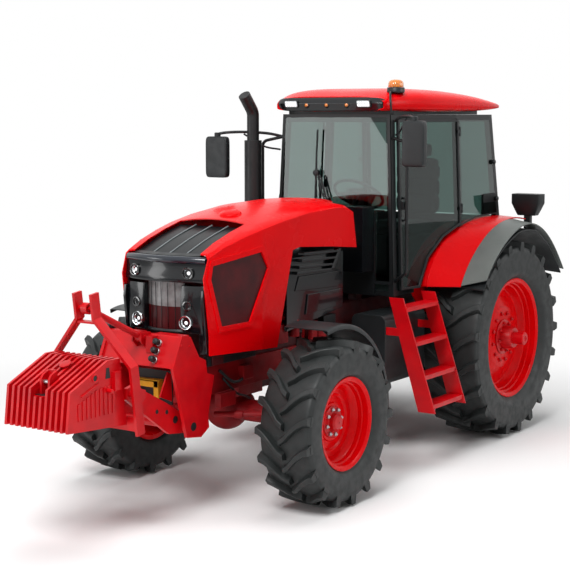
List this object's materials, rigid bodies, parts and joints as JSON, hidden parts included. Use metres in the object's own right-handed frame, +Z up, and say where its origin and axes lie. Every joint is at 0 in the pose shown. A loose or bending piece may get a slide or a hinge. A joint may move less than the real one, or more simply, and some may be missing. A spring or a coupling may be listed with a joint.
{
  "type": "farm tractor",
  "caption": "Four-wheel-drive farm tractor with glazed cab, hinged hood, steering front wheels, front linkage carrying a ribbed ballast block and rear three-point linkage.",
  "frame": {"origin": "on the ground under the middle of the overall box", "axes": "forward is -Y, the tractor left is +X, up is +Z"},
  "size_m": [2.25, 5.9119, 3.024],
  "materials": {
    "red_paint": "gloss",
    "black_paint": "satin",
    "tyre": "matte",
    "black_plastic": "matte",
    "gloss_black": "gloss",
    "glass": "clear",
    "cast": "painted",
    "amber": "gloss",
    "yellow_plastic": "satin",
    "steel": "bare",
    "rubber": "matte",
    "fabric": "woven",
    "lamp": "clear"
  },
  "bodies": {
    "tractor": {"engine": "cast", "chassis_frame": "red_paint", "front_axle": "red_paint", "transmission": "cast", "fuel_tanks": "black_plastic", "ladders": "red_paint", "cab_frame": "black_paint", "cab_roof": "red_paint", "roof_lamp_panel": "gloss_black", "roof_lamps": "lamp", "beacon": "amber", "cab_glass": "glass", "cab_console": "black_plastic", "seat_cushions": "fabric", "steering_wheel": "black_plastic", "mirrors": "black_plastic", "handrails": "black_paint", "exhaust": "black_paint", "cowl_panels": "gloss_black", "rear_fenders": "red_paint", "fender_extensions": "rubber", "rear_lamp_boxes": "black_plastic", "hitch_frame": "red_paint", "pto_guard": "yellow_plastic", "hitch_couplers": "steel", "rear_linkage_case": "cast"},
    "hood": {"hood_shell": "red_paint", "hood_nose": "gloss_black", "hood_side_mesh": "black_paint", "hood_lamps": "lamp"},
    "door_left": {"door_left_frame": "black_paint", "door_left_glass": "glass"},
    "door_right": {"door_right_frame": "black_paint", "door_right_glass": "glass"},
    "knuckle_left": {"knuckle_left": "red_paint", "front_fender_left": "black_plastic"},
    "knuckle_right": {"knuckle_right": "red_paint", "front_fender_right": "black_plastic"},
    "front_lift_arms": {"front_lift_arms": "red_paint"},
    "front_top_link": {"front_top_link": "red_paint"},
    "ballast": {"ballast_block": "cast", "ballast_mast": "red_paint"},
    "rear_lower_links": {"rear_lower_links": "black_paint"},
    "rear_lift_arms": {"rear_lift_arms": "red_paint"},
    "rear_lift_rods": {"rear_lift_rods": "black_paint"},
    "front_wheel_left": {"front_tyre_left": "tyre", "front_rim_left": "red_paint"},
    "rear_wheel_left": {"rear_tyre_left": "tyre", "rear_rim_left": "red_paint"},
    "front_wheel_right": {"front_tyre_right": "tyre", "front_rim_right": "red_paint"},
    "rear_wheel_right": {"rear_tyre_right": "tyre", "rear_rim_right": "red_paint"}
  },
  "joints": [
    {"name": "steer_left", "type": "hinge", "parent": "tractor", "child": "knuckle_left", "pos_m": [0.64, -0.954, 0.595], "axis": [0, 0, 1], "range_deg": [-35, 35]},
    {"name": "front_wheel_left_spin", "type": "hinge", "parent": "knuckle_left", "child": "front_wheel_left", "pos_m": [0.87, -0.954, 0.595], "axis": [1, 0, 0], "continuous": true},
    {"name": "rear_wheel_left_spin", "type": "hinge", "parent": "tractor", "child": "rear_wheel_left", "pos_m": [0.8, 1.806, 0.84], "axis": [1, 0, 0], "continuous": true},
    {"name": "steer_right", "type": "hinge", "parent": "tractor", "child": "knuckle_right", "pos_m": [-0.64, -0.954, 0.595], "axis": [0, 0, 1], "range_deg": [-35, 35]},
    {"name": "front_wheel_right_spin", "type": "hinge", "parent": "knuckle_right", "child": "front_wheel_right", "pos_m": [-0.87, -0.954, 0.595], "axis": [1, 0, 0], "continuous": true},
    {"name": "rear_wheel_right_spin", "type": "hinge", "parent": "tractor", "child": "rear_wheel_right", "pos_m": [-0.8, 1.806, 0.84], "axis": [1, 0, 0], "continuous": true},
    {"name": "door_left_swing", "type": "hinge", "parent": "tractor", "child": "door_left", "pos_m": [0.69123, 1.422, 2], "axis": [-0.045, 0, 0.999], "range_deg": [0, 65]},
    {"name": "door_right_swing", "type": "hinge", "parent": "tractor", "child": "door_right", "pos_m": [-0.69123, 1.422, 2], "axis": [-0.045, 0, -0.999], "range_deg": [0, 65]},
    {"name": "hood_open", "type": "hinge", "parent": "tractor", "child": "hood", "pos_m": [0, 0.266, 2.045], "axis": [-1, 0, 0], "range_deg": [0, 45]},
    {"name": "front_lift", "type": "hinge", "parent": "tractor", "child": "front_lift_arms", "pos_m": [0, -1.799, 0.633], "axis": [-1, 0, 0], "range_deg": [-20, 15]},
    {"name": "ballast_tilt", "type": "hinge", "parent": "front_lift_arms", "child": "ballast", "pos_m": [0, -2.344, 0.95], "axis": [-1, 0, 0], "range_deg": [-16.57, 22.1]},
    {"name": "front_top_link_swing", "type": "hinge", "parent": "tractor", "child": "front_top_link", "pos_m": [0, -1.939, 1.25], "axis": [-1, 0, 0], "range_deg": [-20.4, 15.3]},
    {"name": "rear_lift", "type": "hinge", "parent": "tractor", "child": "rear_lift_arms", "pos_m": [0, 2.201, 1.17], "axis": [1, 0, 0], "range_deg": [-25, 30]},
    {"name": "rear_links_swing", "type": "hinge", "parent": "tractor", "child": "rear_lower_links", "pos_m": [0, 1.926, 0.62], "axis": [1, 0, 0], "range_deg": [-15.62, 18.75]},
    {"name": "rear_rods_swing", "type": "hinge", "parent": "rear_lift_arms", "child": "rear_lift_rods", "pos_m": [0, 2.621, 1.235], "axis": [1, 0, 0], "range_deg": [-28.2, 23.5]}
  ],
  "couplings": [
    {"joint": "steer_right", "follows": "steer_left", "ratio": 1},
    {"joint": "ballast_tilt", "follows": "front_lift", "ratio": -1.105},
    {"joint": "front_top_link_swing", "follows": "front_lift", "ratio": 1.02},
    {"joint": "rear_links_swing", "follows": "rear_lift", "ratio": 0.625},
    {"joint": "rear_rods_swing", "follows": "rear_lift", "ratio": -0.94}
  ]
}
